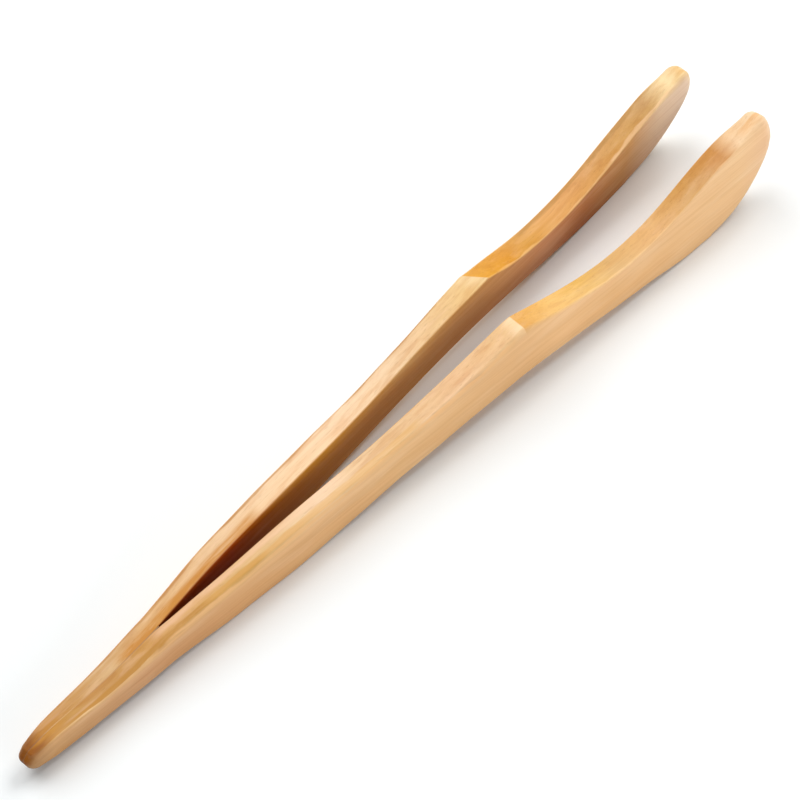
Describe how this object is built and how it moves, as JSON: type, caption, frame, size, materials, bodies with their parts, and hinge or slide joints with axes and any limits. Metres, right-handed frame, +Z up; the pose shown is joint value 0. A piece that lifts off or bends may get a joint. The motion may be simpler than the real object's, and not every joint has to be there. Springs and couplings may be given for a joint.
{
  "type": "print tongs",
  "caption": "Slim sprung tongs of two bent bamboo strips, glued at a tapered heel and parting to wide tongue-shaped jaws, for lifting wet prints.",
  "frame": {"origin": "under the middle of the tongs, on the surface that they lie on edge on", "axes": "+X along the tongs from the heel to the jaws; +Y towards the rear strip, square to the mid-plane that the two strips mirror each other in; +Z up from the surface"},
  "size_m": [0.22, 0.031, 0.0234],
  "materials": {
    "rear_bamboo": "satin",
    "front_bamboo": "satin",
    "glue": "matte"
  },
  "bodies": {
    "heel": {"rear_heel": "rear_bamboo", "front_heel": "front_bamboo", "glue_line": "glue"},
    "rear_strip_arm": {"rear_arm": "rear_bamboo"},
    "front_strip_arm": {"front_arm": "front_bamboo"}
  },
  "joints": [
    {"name": "rear_flex", "type": "hinge", "parent": "heel", "child": "rear_strip_arm", "pos_m": [-0.07, 0.0022, 0.0055], "axis": [0, 0, -1], "range_deg": [-1.5, 2.55], "stiffness_Nm_per_rad": 6},
    {"name": "front_flex", "type": "hinge", "parent": "heel", "child": "front_strip_arm", "pos_m": [-0.07, -0.0022, 0.0055], "axis": [0, 0, 1], "range_deg": [-1.5, 2.55], "stiffness_Nm_per_rad": 6}
  ]
}
